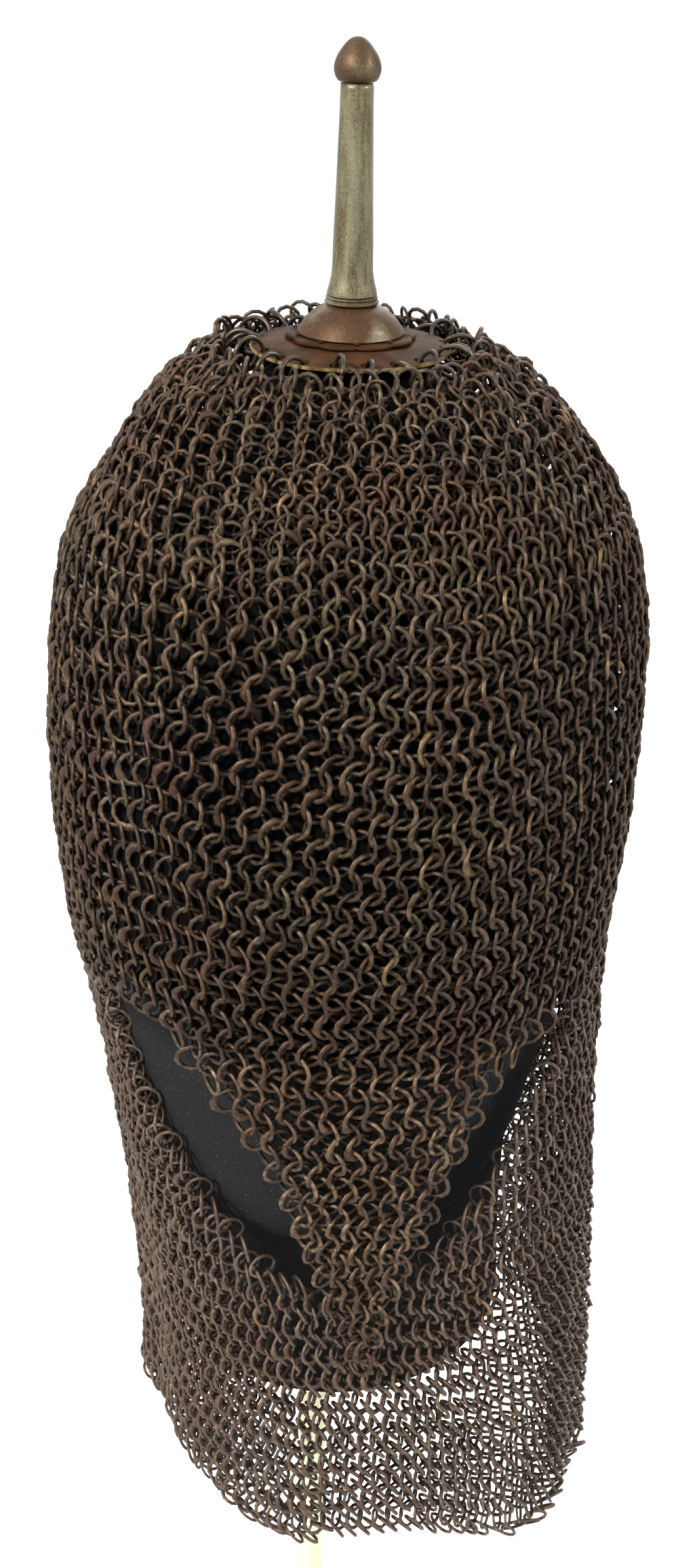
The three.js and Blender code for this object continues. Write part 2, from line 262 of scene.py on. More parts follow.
def round_angles(count):
    """So many even steps round a circle, from 0."""
    return np.linspace(0, 2 * math.pi, count, endpoint=False)


def net(rows, columns):
    """Four-sided faces between neighbouring rings of a grid of points, each ring closed."""
    here = np.arange(rows - 1)[:, None] * columns
    below = here + columns
    column = np.arange(columns)
    beside = (column + 1) % columns
    return stacked(here + column, below + column, below + beside, here + beside).reshape(-1, 4)


def volume(points, faces):
    """The signed volume inside the faces, from the fan of triangles of each."""
    total = 0.0
    for far in range(2, faces.shape[1]):
        first, second, third = points[faces[:, 0]], points[faces[:, far - 1]], points[faces[:, far]]
        total += np.einsum("ij,ij->", first, np.cross(second, third)) / 6
    return total


def closed_shell(grid):
    """A grid of rings, rows by columns by xyz, closed at both ends by a fan round a middle point."""
    rows, columns = grid.shape[:2]
    points = np.vstack([grid.reshape(-1, 3), grid[0].mean(0), grid[-1].mean(0)])
    column = np.arange(columns)
    beside = (column + 1) % columns
    last = (rows - 1) * columns
    first_fan = stacked(rows * columns, column, beside)
    last_fan = stacked(rows * columns + 1, last + beside, last + column)
    faces = [net(rows, columns), first_fan, last_fan]
    if sum(volume(points, some) for some in faces) < 0:
        faces = [some[:, ::-1] for some in faces]
    return points, faces


def add_piece(name, parts, material, node, smooth=True):
    """Puts points in millimetres and lists of equal-sided faces into a new object at the origin.

    It rides with the whole part and is shown in place of the node.
    """
    points, faces = parts
    mesh = bpy.data.meshes.new(name)
    corners = np.concatenate([some.ravel() for some in faces]).astype(np.int32)
    sizes = np.concatenate([np.full(len(some), some.shape[1]) for some in faces])
    starts = np.concatenate([[0], np.cumsum(sizes)[:-1]]).astype(np.int32)
    mesh.vertices.add(len(points))
    mesh.vertices.foreach_set("co", (np.asarray(points) * MM).astype(np.float32).ravel())
    mesh.loops.add(len(corners))
    mesh.loops.foreach_set("vertex_index", corners)
    mesh.polygons.add(len(starts))
    mesh.polygons.foreach_set("loop_start", starts)
    mesh.polygons.foreach_set("use_smooth", np.full(len(starts), smooth))
    mesh.update(calc_edges=True)
    mesh.materials.append(material)
    piece = bpy.data.objects.new(name, mesh)
    bpy.context.scene.collection.objects.link(piece)
    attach(piece, "root")
    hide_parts(node)
    return piece


def turned(profile, segments, middle=(0, 0), height=0.0):
    """A turned piece: a profile of radius and height carried round an upright axis at middle."""
    profile = np.asarray(profile, float)
    angle = round_angles(segments)
    radius, level = profile[:, :1], profile[:, 1:2]
    x = middle[0] + radius * np.sin(angle)
    y = middle[1] - radius * np.cos(angle)
    return closed_shell(stacked(x, y, height + level))


def black_paint():
    """Matt black paint with a fine orange peel and faint dust."""
    finish = Finish("black_paint")
    place = place_on_object(finish)
    dust = step(finish, grain(finish, place, 90, 5), 0.45, 0.75)
    colour = blend(finish, dust, (0.008, 0.008, 0.0085), (0.018, 0.0175, 0.017))
    peel = grain(finish, place, 1400, 2)
    return finish.surface(
        Base_Color=colour, Specular_IOR_Level=0.25, Roughness=0.45 + 0.3 * dust,
        Normal=bump(finish, peel, 0.03, 0.4),
    )


base_edge = flow([[BASE_RADIUS - 3, BASE_THICKNESS], [BASE_RADIUS - 0.9, BASE_THICKNESS - 0.7],
                  [BASE_RADIUS, BASE_THICKNESS - 2.6], [BASE_RADIUS, 1.6], [BASE_RADIUS - 1, 0]], 4)
socket_wall = [[0.6, 2.7], [POLE_RADIUS + SEAM, 2.7], [POLE_RADIUS + SEAM, BASE_THICKNESS - 0.3],
               [POLE_RADIUS + 0.8, BASE_THICKNESS]]


def base_parts(segments=96):
    """Rings from the middle of the socket out over the top and the rim to the flat underside.

    The socket's middle is beside the disc's, so each ring's middle slides across with its radius.
    """
    profile = np.vstack([socket_wall, [[40, BASE_THICKNESS]], base_edge, [[20, 0]]])
    slide = POLE_OFFSET * (1 - np.clip((profile[:, :1] - SLIDE_FROM) / SLIDE_WIDTH, 0, 1))
    slide[-1] = 0
    return turned(profile, segments, (slide, 0))


add_piece("stand_base", base_parts(), black_paint(), "base")

# The pole: a planed round stick of pale wood that stands in the base's socket and holds the
# neck. Only a short length shows under the hood, cream with a green cast.

POLE_BOTTOM = 3.0
POLE_TOP = RIM_TOP - 325.0


def pale_wood():
    """Cream wood with long straight grain and faint grey marks."""
    finish = Finish("pale_wood")
    lines = grain(finish, place_on_object(finish, (1, 1, 0.03)), 700, 4)
    marks = step(finish, grain(finish, place_on_object(finish), 45, 3), 0.55, 0.8)
    wood = blend(finish, lines, (0.6, 0.61, 0.35), (0.83, 0.83, 0.58))
    colour = blend(finish, marks * 0.5, wood, (0.5, 0.5, 0.38))
    return finish.surface(
        Base_Color=colour, Roughness=0.6, Normal=bump(finish, lines, 0.05, 0.3)
    )


pole_profile = [[POLE_RADIUS - 0.5, POLE_TOP], [POLE_RADIUS, POLE_TOP - 0.5], [POLE_RADIUS, 250],
                [POLE_RADIUS, 130], [POLE_RADIUS, POLE_BOTTOM + 0.4], [POLE_RADIUS - 0.4, POLE_BOTTOM]]
pole_parts = turned(pole_profile, 40, (POLE_OFFSET, 0))
add_piece("stand_pole", pole_parts, pale_wood(), "pole")

# The head form and its neck: moulded, smooth and without a face, covered in matt black flock
# that holds specks of dust. The neck's top meets the form's flat underside.

HEAD_TOP_DROP = -2.0
HEAD_UNDER_DROP = 273.0
NECK_BOTTOM_DROP = 350.0
NECK_TOP_DROP = HEAD_UNDER_DROP + SEAM
NECK_LENGTH = NECK_BOTTOM_DROP - NECK_TOP_DROP
NECK_MIDDLE = (2, -1)
# Heights over which the flock turns into painted shade, nearly black, under the mail.
PAINTED_SHADE_FROM = RIM_TOP - 196.0
PAINTED_SHADE_TO = RIM_TOP - 168.0


def table(columns, rows):
    """A dictionary from each column's name to its numbers, row by row."""
    return dict(zip(columns.split(), np.array(rows, float).T))


def between(rows, drop, name):
    """A cubic through a table's rows whose slope at a row is that between its two neighbours."""
    known, value = rows["drop"], rows[name]
    slope = np.empty(len(known))
    slope[1:-1] = (value[2:] - value[:-2]) / (known[2:] - known[:-2])
    slope[0] = (value[1] - value[0]) / (known[1] - known[0])
    slope[-1] = (value[-1] - value[-2]) / (known[-1] - known[-2])
    at = np.clip(np.searchsorted(known, drop, side="right") - 1, 0, len(known) - 2)
    span = known[at + 1] - known[at]
    part = np.clip((drop - known[at]) / span, 0, 1)
    square, cube = part**2, part**3
    return ((2 * cube - 3 * square + 1) * value[at] + (cube - 2 * square + part) * span * slope[at]
            + (3 * square - 2 * cube) * value[at + 1] + (cube - square) * span * slope[at + 1])


def either(rows, drop, first, second, mask):
    """A table's first column where the mask holds and its second elsewhere."""
    return np.where(mask, between(rows, drop, first), between(rows, drop, second))


head_form = table("drop side front back", [
    [HEAD_TOP_DROP, 7, 7, 7],
    [2.6, 17, 17, 17],
    [10.8, 31, 31, 32],
    [22, 46, 47, 49],
    [34, 59, 61, 63],
    [50, 72, 73, 75],
    [75, 81.5, 84, 87],
    [105, 85, 91.5, 95],
    [140, 85.5, 95, 98],
    [178, 82, 93.5, 95],
    [215, 74.5, 90.5, 87],
    [235, 70.5, 88.5, 80],
    [250, 67, 86, 74],
    [262, 63, 80.5, 68],
    [269, 60, 73, 64.5],
    [HEAD_UNDER_DROP, 57, 64, 61],
])


def head_grid(segments=128, levels=110):
    """Rings that are half ellipses in front and behind, with the table's half widths and depths."""
    sweep = np.linspace(0, math.pi, levels)[:, None]
    drop = HEAD_TOP_DROP + (HEAD_UNDER_DROP - HEAD_TOP_DROP) * (1 - np.cos(sweep)) / 2
    angle = round_angles(segments)
    side = between(head_form, drop, "side")
    depth = either(head_form, drop, "front", "back", np.cos(angle) > 0)
    return stacked(side * np.sin(angle), -depth * np.cos(angle), RIM_TOP - drop)


def across_millimetres(finish, value, low, high):
    """0 where a distance in metres is low millimetres and 1 where it is high."""
    ends = {"From Min": low * MM, "From Max": high * MM}
    return finish.node("ShaderNodeMapRange", {}, {"Value": value, **ends})


def black_flock():
    """Matt flock with specks of dust on the face and neck, and painted shade: nearly black above the
    jaw, where the mail covers it.
    """
    finish = Finish("black_flock")
    place = place_on_object(finish)
    clouds = grain(finish, place, 22, 4)
    nap = grain(finish, place, 2600, 2)
    specks = step(finish, grain(finish, place, 1500, 1, 0.3), 0.72, 0.77)
    fluff = step(finish, grain(finish, place, 260, 5, 0.7), 0.66, 0.74)
    cloth = blend(finish, clouds, (0.0125, 0.0125, 0.0135), (0.0195, 0.0195, 0.021))
    dusty = blend(finish, fluff * 0.12, cloth, (0.14, 0.14, 0.135))
    specked = blend(finish, specks * 0.35, dusty, (0.25, 0.25, 0.24))
    height = finish.node("ShaderNodeSeparateXYZ", {}, {"Vector": place}, "Z")
    # Painted shade: above the jaw the flock and its dust give way to near black, standing for the shade
    # under the mail.
    deep = across_millimetres(finish, height, PAINTED_SHADE_FROM, PAINTED_SHADE_TO)
    colour = blend(finish, deep, specked, (0.0035, 0.0032, 0.0032))
    return finish.surface(
        Base_Color=colour,
        Roughness=0.95,
        Specular_IOR_Level=0.02,
        Normal=bump(finish, nap, 0.06, 0.5),
    )


flock = black_flock()
add_piece("black_head_form", closed_shell(head_grid()), flock, "head_form")

neck_side = flow([[61.5, -8], [61.7, -24], [62, -40], [63, -60], [64, -NECK_LENGTH]], 5)
neck_profile = np.vstack([[[62, 0]], neck_side, [[20, -NECK_LENGTH]]])
neck_parts = turned(neck_profile, 96, NECK_MIDDLE, RIM_TOP - NECK_TOP_DROP)
add_piece("black_neck", neck_parts, flock, "form_neck")

# The crown plate: a round of iron sheet, cut with shears and punched near its rim with a hole for
# each hanger ring. It is dark brown, lightly domed and wavy, and rubbed bright along its edge.

PLATE_RADIUS = 28.5
PLATE_THICKNESS = 1.0
PLATE_LIFT = 1.3
PLATE_DOME = 2.0
FLAT_RADIUS = 19.5
HANGER_COUNT = 20
HOLE_RADIUS = 1.25
HOLE_INSET = 2.0
HOLE_CIRCLE = PLATE_RADIUS - HOLE_INSET
RUB_FROM = 0.97 * PLATE_RADIUS


def plate_height(x, y):
    """The plate's upper face: lifted, flat in the middle, falling to the rim, with three long waves."""
    fall = np.clip((np.hypot(x, y) - FLAT_RADIUS) / (PLATE_RADIUS - FLAT_RADIUS), 0, 1)
    waves = (
        0.1 * np.sin(0.21 * x + 1)
        + 0.08 * np.sin(0.3 * y + 0.12 * x)
        + 0.05 * np.cos(0.55 * x - 0.4 * y)
    )
    return RIM_TOP + PLATE_LIFT + PLATE_DOME * (1 - fall**1.5) + waves


def plate_parts(ways=16, inner_gap=2.5):
    """A sector round each hole, from a square of its own out to the circle, and a plain middle.

    A direction round the hole is carried out to a square, whose corners are the sector's: radius
    across and angle along. Sixteen ways give four spans to each side of the square.
    """
    way = round_angles(ways)
    inner_side, outer_side = np.array([6, 7, 8, 9]), np.array([14, 15, 0, 1])
    square = np.stack([np.cos(way), np.sin(way)]) / np.maximum(abs(np.cos(way)), abs(np.sin(way)))
    half_sector = math.pi / HANGER_COUNT
    reach = HOLE_CIRCLE + np.where(square[0] > 0, square[0] * HOLE_INSET, square[0] * inner_gap)
    hole_turn = (np.arange(HANGER_COUNT)[:, None] + 0.5) * 2 * half_sector
    edge_turn = hole_turn + square[1] * half_sector
    edge = stacked(reach * np.sin(edge_turn), -reach * np.cos(edge_turn))
    out = np.cos(way) * HOLE_RADIUS + HOLE_CIRCLE
    along = np.sin(way) * HOLE_RADIUS
    hole = stacked(out * np.sin(hole_turn) + along * np.cos(hole_turn),
                   -out * np.cos(hole_turn) + along * np.sin(hole_turn))
    inner_turn = np.sort(edge_turn[:, inner_side].ravel())
    ring_reach = np.array([HOLE_CIRCLE - inner_gap, 20, 15, 10, 5])[:, None]
    middle = stacked(ring_reach * np.sin(inner_turn), -ring_reach * np.cos(inner_turn))
    flat = np.vstack([some.reshape(-1, 2) for some in (edge, hole, middle, np.zeros(2))])
    height = plate_height(flat[:, 0], flat[:, 1])
    points = np.vstack([np.column_stack([flat, height - PLATE_THICKNESS]),
                        np.column_stack([flat, height])])

    step_up = len(flat)
    edges, centre = edge.size // 2, len(flat) - 1
    start = np.arange(HANGER_COUNT)[:, None] * ways
    here = start + np.arange(ways)
    beside = start + (np.arange(ways) + 1) % ways
    sector = stacked(here, beside, edges + beside, edges + here).reshape(-1, 4)
    inner = net(len(ring_reach), len(inner_turn)) + 2 * edges
    last_ring = centre - len(inner_turn) + np.arange(len(inner_turn))
    fan = stacked(last_ring, np.roll(last_ring, -1), centre)
    wall = edges + stacked(here, beside, beside + step_up, here + step_up)
    rim_here, rim_beside = start + outer_side, start + (outer_side + 1) % ways
    rim = stacked(rim_here, rim_beside, rim_beside + step_up, rim_here + step_up)
    quads = [sector + step_up, sector[:, ::-1], inner + step_up, inner[:, ::-1],
             wall.reshape(-1, 4), rim.reshape(-1, 4)]
    return points, [np.vstack(quads), np.vstack([fan + step_up, fan[:, ::-1]])]


def merge_seams(piece, distance_mm=0.01):
    """Joins points that lie together and turns all faces outwards."""
    form = bmesh.new()
    form.from_mesh(piece.data)
    bmesh.ops.remove_doubles(form, verts=form.verts, dist=distance_mm * MM)
    bmesh.ops.recalc_face_normals(form, faces=form.faces)
    form.to_mesh(piece.data)
    form.free()


def soften_edges(piece, width_mm, segments=2, over_degrees=35):
    """Rounds the piece's sharp edges."""
    softened = piece.modifiers.new("soft_edges", "BEVEL")
    softened.width = width_mm * MM
    softened.segments = segments
    softened.limit_method = "ANGLE"
    softened.angle_limit = math.radians(over_degrees)
    softened.harden_normals = False


def plate_iron():
    """Dark brown iron: rust freckles, brassy rub along the rim and fine pits."""
    finish = Finish("plate_iron")
    place = place_on_object(finish)
    clouds = step(finish, grain(finish, place, 110, 4), 0.36, 0.66)
    pits = grain(finish, place, 900, 4, 0.65)
    freckles = step(finish, pits, 0.6, 0.7)
    level_place = place_on_object(finish, (1, 1, 0))
    from_axis = finish.node(
        "ShaderNodeVectorMath", {"operation": "LENGTH"}, {0: level_place}, "Value"
    )
    rubbed = across_millimetres(finish, from_axis, RUB_FROM, PLATE_RADIUS)
    scuffed = step(finish, grain(finish, place, 200, 3), 0.3, 0.55)
    brown = blend(finish, clouds, (0.017, 0.0065, 0.0024), (0.05, 0.021, 0.0075))
    rusty = blend(finish, freckles * 0.5, brown, (0.085, 0.033, 0.011))
    colour = blend(finish, (rubbed ** 5.0) * scuffed, rusty, (0.26, 0.19, 0.07))
    return finish.surface(
        Base_Color=colour, Metallic=0.1, Specular_IOR_Level=0.06, Roughness=0.5 + 0.3 * pits,
        Normal=bump(finish, pits, 0.12, 0.6),
    )


plate_finish = plate_iron()
crown_plate = add_piece(
    "crown_plate_iron", plate_parts(), plate_finish, "crown_plate", smooth=False
)
merge_seams(crown_plate)
soften_edges(crown_plate, 0.22)

# The plume holder: a ten-lobed flange riveted on the plate, and on it a turned foot, a moulding,
# a tapered stem and an onion knob. It is brass under a grey and olive skin, browner at both ends.

FLANGE_PETALS = 10
FLANGE_TURN = math.radians(6)
FLANGE_TIP = 18.5
FLANGE_NOTCH = 17.1
FLANGE_THICKNESS = 1.1
RIVET_CIRCLE = 16.2
RIVET_RADIUS = 0.7
RIVET_HEIGHT = 0.5
PLATE_CROWN = RIM_TOP + PLATE_LIFT + PLATE_DOME
BELL_PROFILE = [[15.2, 5.05], [15.15, 5.4], [14.75, 6], [14.2, 6.75], [13.6, 7.6], [12.6, 8.8],
                [11.2, 10.1], [9.6, 11.3], [8.1, 12.1], [7.2, 12.5]]
COLLAR_PROFILE = [[7.1, 12.8], [7.4, 12.95], [7.6, 13.3], [7.45, 13.65], [7.15, 13.85],
                  [7.15, 14.2], [7.3, 14.55], [7.1, 14.9]]
STEM_PROFILE = [[7, 15.2], [6.95, 15.8], [6.7, 16.9], [6.2, 18.8], [5.8, 21], [5.62, 24],
                [5.5, 30], [5.22, 38], [4.95, 46.5], [4.68, 56], [4.48, 63], [4.4, 69]]
KNOB_PROFILE = [[4.7, 69.3], [5.1, 69.5], [5.7, 70.3], [6.15, 71.6], [6.22, 72.8], [5.9, 74.2],
                [5.25, 75.7], [4.2, 77.2], [3, 78.6], [1.7, 79.6], [0.7, 79.95], [0.15, 80]]


def flange_grid(segments=256):
    """Rings between a plain circle and the lobed outline, down over the edge and under the flange."""
    angle = round_angles(segments)
    arch = abs(np.sin((angle - FLANGE_TURN) * FLANGE_PETALS / 2)) ** 0.6
    outline = FLANGE_NOTCH + (FLANGE_TIP - FLANGE_NOTCH) * arch
    top = FLANGE_THICKNESS + SEAM
    share = np.array([0.3, 0.8, 0.9, 0.93, 0.96, 0.985, 1, 1, 0.985, 0.6, 0.3])[:, None]
    level = np.array([top, top, top, top - 0.02, top - 0.08, top - 0.2, top - 0.45, SEAM + 0.12,
                      SEAM, SEAM, SEAM])[:, None]
    round_share = np.clip((share - 0.6) / 0.3, 0, 1)
    reach = share * (outline * round_share + FLANGE_NOTCH * (1 - round_share))
    return stacked(reach * np.sin(angle), -reach * np.cos(angle), PLATE_CROWN + level)


def old_brass(name, brown_share, streak_length):
    """Patinated brass: olive and grey streaks, brown stains, worn bright flecks and small dents."""
    finish = Finish(name)
    place = place_on_object(finish)
    long_place = place_on_object(finish, (1, 1, 1 / streak_length))
    streaks = grain(finish, long_place, 330, 5, 0.65)
    flecks = step(finish, grain(finish, place, 1900, 4, 0.75), 0.46, 0.66)
    stains = step(finish, grain(finish, place_on_object(finish, (1, 1, 0.45)), 75, 4),
                  0.62 - 0.3 * brown_share, 0.78 - 0.3 * brown_share)
    dents = grain(finish, place, 260, 2)
    specks = step(finish, grain(finish, place, 2300, 2, 0.7), 0.52, 0.66)
    drawn = step(finish, streaks, 0.35, 0.65)
    olive = blend(finish, drawn, (0.07, 0.051, 0.02), (0.2, 0.187, 0.115))
    bright = blend(finish, flecks * 0.4, olive, (0.34, 0.33, 0.22))
    pitted = blend(finish, specks * 0.55, bright, (0.055, 0.044, 0.024))
    brown = blend(finish, streaks, (0.03, 0.012, 0.005), (0.075, 0.037, 0.015))
    brown = blend(finish, flecks * 0.25, brown, (0.19, 0.125, 0.065))
    colour = blend(finish, stains * (0.55 + 0.45 * brown_share), pitted, brown)
    height = dents * 0.6 + streaks * 0.4
    return finish.surface(
        Base_Color=colour, Metallic=0.5, Specular_IOR_Level=0.3, Roughness=0.34 + 0.16 * stains,
        Normal=bump(finish, height, 0.22, 0.6),
    )


stem_brass = old_brass("stem_brass", 0.12, 6)
foot_brass = old_brass("foot_brass", 1.0, 1)
knob_brass = old_brass("knob_brass", 0.75, 1.6)

flange_parts = closed_shell(flange_grid())
add_piece("plume_flange", flange_parts, plate_finish, "finial_flange")

rise = np.linspace(0, math.pi / 2, 6)
rivet_dome = np.column_stack([RIVET_RADIUS * np.cos(rise) + 0.02, RIVET_HEIGHT * np.sin(rise)])
rivet_foot = PLATE_CROWN + FLANGE_THICKNESS + 2 * SEAM
for number in range(FLANGE_PETALS):
    rivet_turn = FLANGE_TURN + number * 2 * math.pi / FLANGE_PETALS
    rivet_middle = (RIVET_CIRCLE * math.sin(rivet_turn), -RIVET_CIRCLE * math.cos(rivet_turn))
    rivet_parts = turned(rivet_dome, 16, rivet_middle, rivet_foot)
    name, node = f"flange_rivet_head_{number + 1}", f"flange_rivet_{number + 1}"
    add_piece(name, rivet_parts, plate_finish, node)

for name, profile, brass, node in (
    ("plume_foot", BELL_PROFILE, foot_brass, "finial_bell"),
    ("plume_moulding", COLLAR_PROFILE, knob_brass, "finial_collar"),
    ("plume_stem", STEM_PROFILE, stem_brass, "finial_stem"),
    ("plume_knob", KNOB_PROFILE, knob_brass, "finial_knob"),
):
    add_piece(name, turned(flow(profile, 4), 72, height=RIM_TOP), brass, node)

# The hanger rings: larger open rings of drawn wire, bent by hand and never closed. Each goes
# through a hole of the plate and carries the first rings of the mail.

HANGER_WIRE = 1.24
HANGER_RADIUS = 5.3
HANGER_GAP = 26.0
HANGER_GAP_TURN = -50.0
HANGER_SWING = 20.0
HANGER_LEAN = 32.0
HANGER_DIP = 2.3
DIP_SPREAD = 1.5
HANGER_OVAL = 0.05


def hanger_grid(number, steps=30, sides=8):
    """A round section carried along an arc in an upright plane that swings about the plate's hole."""
    angle = (number + 0.5) * 2 * math.pi / HANGER_COUNT
    dip = HANGER_DIP + DIP_SPREAD * math.sin(number * 1.9)
    swing = math.radians(HANGER_SWING * math.sin(number * 2.4))
    heading = angle - math.pi / 2 + swing
    outward = np.array([math.cos(heading), math.sin(heading), 0])
    up = np.array([0, 0, 1.0])
    across = np.cross(up, outward)
    lean = math.radians(HANGER_LEAN * math.sin(number * 3.3 + 0.6))
    up = up * math.cos(lean) + across * math.sin(lean)
    across = np.cross(up, outward)
    hole = np.array([HOLE_CIRCLE * math.sin(angle), -HOLE_CIRCLE * math.cos(angle), 0])
    reach = math.sqrt(HANGER_RADIUS**2 - dip**2)
    hole_height = plate_height(hole[0], hole[1]) - PLATE_THICKNESS / 2
    middle = hole + [0, 0, hole_height] + outward * reach - up * dip
    open_from = math.radians(HANGER_GAP_TURN + HANGER_GAP / 2)
    open_to = open_from + math.radians(360 - HANGER_GAP)
    along = np.linspace(open_from, open_to, steps)[:, None, None]
    round_angle = round_angles(sides)[None, :, None]
    spread = 1 + HANGER_OVAL * np.cos(2 * along + number)
    radial = np.cos(along) * outward + np.sin(along) * up
    section = np.cos(round_angle) * radial + np.sin(round_angle) * across
    return middle + radial * HANGER_RADIUS * spread + section * HANGER_WIRE / 2


def worn_wire():
    """Grey-brown iron wire, lighter and darker in a fine scale, with patches of rust."""
    finish = Finish("worn_wire")
    place = place_on_object(finish)
    scale = grain(finish, place, 1500, 4, 0.6)
    rust = step(finish, grain(finish, place, 160, 3), 0.5, 0.68)
    steel = blend(finish, scale, (0.03, 0.022, 0.015), (0.09, 0.072, 0.05))
    colour = blend(finish, rust * 0.7, steel, (0.04, 0.018, 0.01))
    return finish.surface(
        Base_Color=colour, Metallic=0.75, Roughness=0.36 + 0.25 * rust,
        Normal=bump(finish, scale, 0.05, 0.5),
    )


hanger_wire_finish = worn_wire()
for number in range(HANGER_COUNT):
    name, node = f"open_ring_{number + 1:02d}", f"hanger_ring_{number + 1:02d}"
    add_piece(name, closed_shell(hanger_grid(number)), hanger_wire_finish, node)

# The mail: round iron rings in level rows that tilt one way and the other by turns. Every second
# row is riveted, its laps hammered flat. A real ring goes through four others, and most here
# through two to four.

hood = table("drop left right front back left_corner right_corner ripple", [
    [0, 40, 40, 40, 40, 2, 2, 0],
    [7, 51, 52, 48, 50, 2, 2, 0],
    [17, 60.5, 64, 59, 60, 2, 2, 0],
    [32, 70.3, 76, 71, 72, 2, 2, 0],
    [50, 81.5, 86, 82, 84, 2, 2, 0],
    [75, 88, 91.8, 91, 94, 2, 2, 0],
    [105, 90.8, 93.4, 98, 101, 2, 2, 0],
    [140, 91, 92.6, 101, 104, 2, 2.05, 0.2],
    [178, 88, 90.3, 99, 102, 2, 2.1, 0.5],
    [215, 81, 89.7, 97, 96, 2, 2.3, 1],
    [250, 77, 90.3, 95, 91, 2, 2.6, 1.5],
    [285, 73, 92.4, 93, 88, 1.95, 2.9, 2],
    [320, 70.8, 94.2, 92, 87, 1.8, 3.2, 2.4],
    [360, 69.4, 96.3, 91, 88, 1.7, 3.45, 2.7],
    [405, 70.5, 98, 90, 90, 1.57, 3.65, 3],
])
FOLD_COUNT = 9
FOLD_FREE = 50.0
RIM_RISE = 2.5
RIM_RISE_FADE = 10.0
RING_SINK = 0.2
RING_TWIST = 8.0
RING_NOD = 7.0
RING_STRAY = 0.28
SIZE_SPREAD = 0.035
WIRE_SPREAD = 0.07
RING_OVAL = 0.045
LAP_WANDER = 0.9
LAP_WIDTHS = (0.2, 1.5)
GOLD_ABOVE = 0.991
MAIL_SEED = 11
chance = np.random.default_rng(MAIL_SEED)


def ease(value, low, high):
    """0 below low and 1 above high, with a smooth step between."""
    part = np.clip((value - low) / (high - low), 0, 1)
    return part * part * (3 - 2 * part)


def hood_point(turn, drop, stand_off=0.0):
    """A place on the hood's outer surface: rounded-square sections, soft folds and a risen rim."""
    turn, drop, stand_off = np.broadcast_arrays(turn, drop, stand_off)
    angle = np.radians(turn)
    side, ahead = np.sin(angle), np.cos(angle)
    width = either(hood, drop, "left", "right", side < 0)
    depth = either(hood, drop, "front", "back", ahead > 0)
    corner = either(hood, drop, "left_corner", "right_corner", side < 0)
    square = np.where(ahead > 0, corner, 2.0)
    x = np.sign(side) * abs(side) ** (2 / square) * width
    y = -np.sign(ahead) * abs(ahead) ** (2 / square) * depth
    from_front = abs((turn + 180) % 360 - 180)
    fold = between(hood, drop, "ripple") * ease(from_front, FOLD_FREE, 1.6 * FOLD_FREE)
    reach = np.hypot(x, y)
    grow = (reach + fold * np.cos(FOLD_COUNT * angle) + stand_off) / reach
    rise = RIM_RISE * (1 - ahead) / 2 * np.exp(-np.maximum(drop, 0) / RIM_RISE_FADE)
    return stacked(x * grow, y * grow, RIM_TOP - drop + rise)


def unit(vectors):
    """The vectors at length 1."""
    return vectors / np.linalg.norm(vectors, axis=-1, keepdims=True)


def hood_outward(turn, drop):
    """The way straight out of the hood's surface."""
    along = hood_point(turn + 0.5, drop) - hood_point(turn - 0.5, drop)
    down = hood_point(turn, drop + 0.5) - hood_point(turn, drop - 0.5)
    return unit(np.cross(down, along))


def round_the_hood(drop):
    """Turns from the back round to the back, and their lengths round the hood from the front line."""
    turns = np.linspace(-180, 180, 721)
    track = hood_point(turns, drop)
    length = np.concatenate([[0], np.cumsum(np.linalg.norm(np.diff(track, axis=0), axis=-1))])
    return turns, length - np.interp(0, turns, length)


def row_turns(drop, shares):
    """Turns at the given shares of the way round the hood at one drop, and the whole way round."""
    turns, length = round_the_hood(drop)
    whole = length[-1] - length[0]
    return np.interp(length[0] + (shares % 1.0) * whole, length, turns), whole


def next_row(shares, count, rounds=6, evening=0.3):
    """Shares of the next row: halfway between this row's rings, with more where the row has grown.

    In each round every ring moves from its nearer neighbour towards its farther one.
    """
    gaps = (np.roll(shares, -1) - shares) % 1.0
    middles = shares + gaps / 2
    extra = max(count - len(shares), 0)
    if extra:
        places = (np.arange(extra) + chance.random()) * len(shares) / extra
        chosen = places.astype(int) % len(shares)
        added = middles[chosen] + gaps[chosen] / 4
        middles[chosen] -= gaps[chosen] / 4
        middles = np.concatenate([middles, added])
    middles = np.sort(middles % 1.0)
    for _ in range(rounds):
        before = (middles - np.roll(middles, 1)) % 1.0
        after = (np.roll(middles, -1) - middles) % 1.0
        middles = middles + evening * (after - before)
    return middles


def value_at(rule, turn, drop):
    """A rule's value at each ring, where the rule is a function of turn and drop or one number."""
    value = rule(turn, drop) if callable(rule) else rule
    return np.broadcast_to(value, turn.shape)


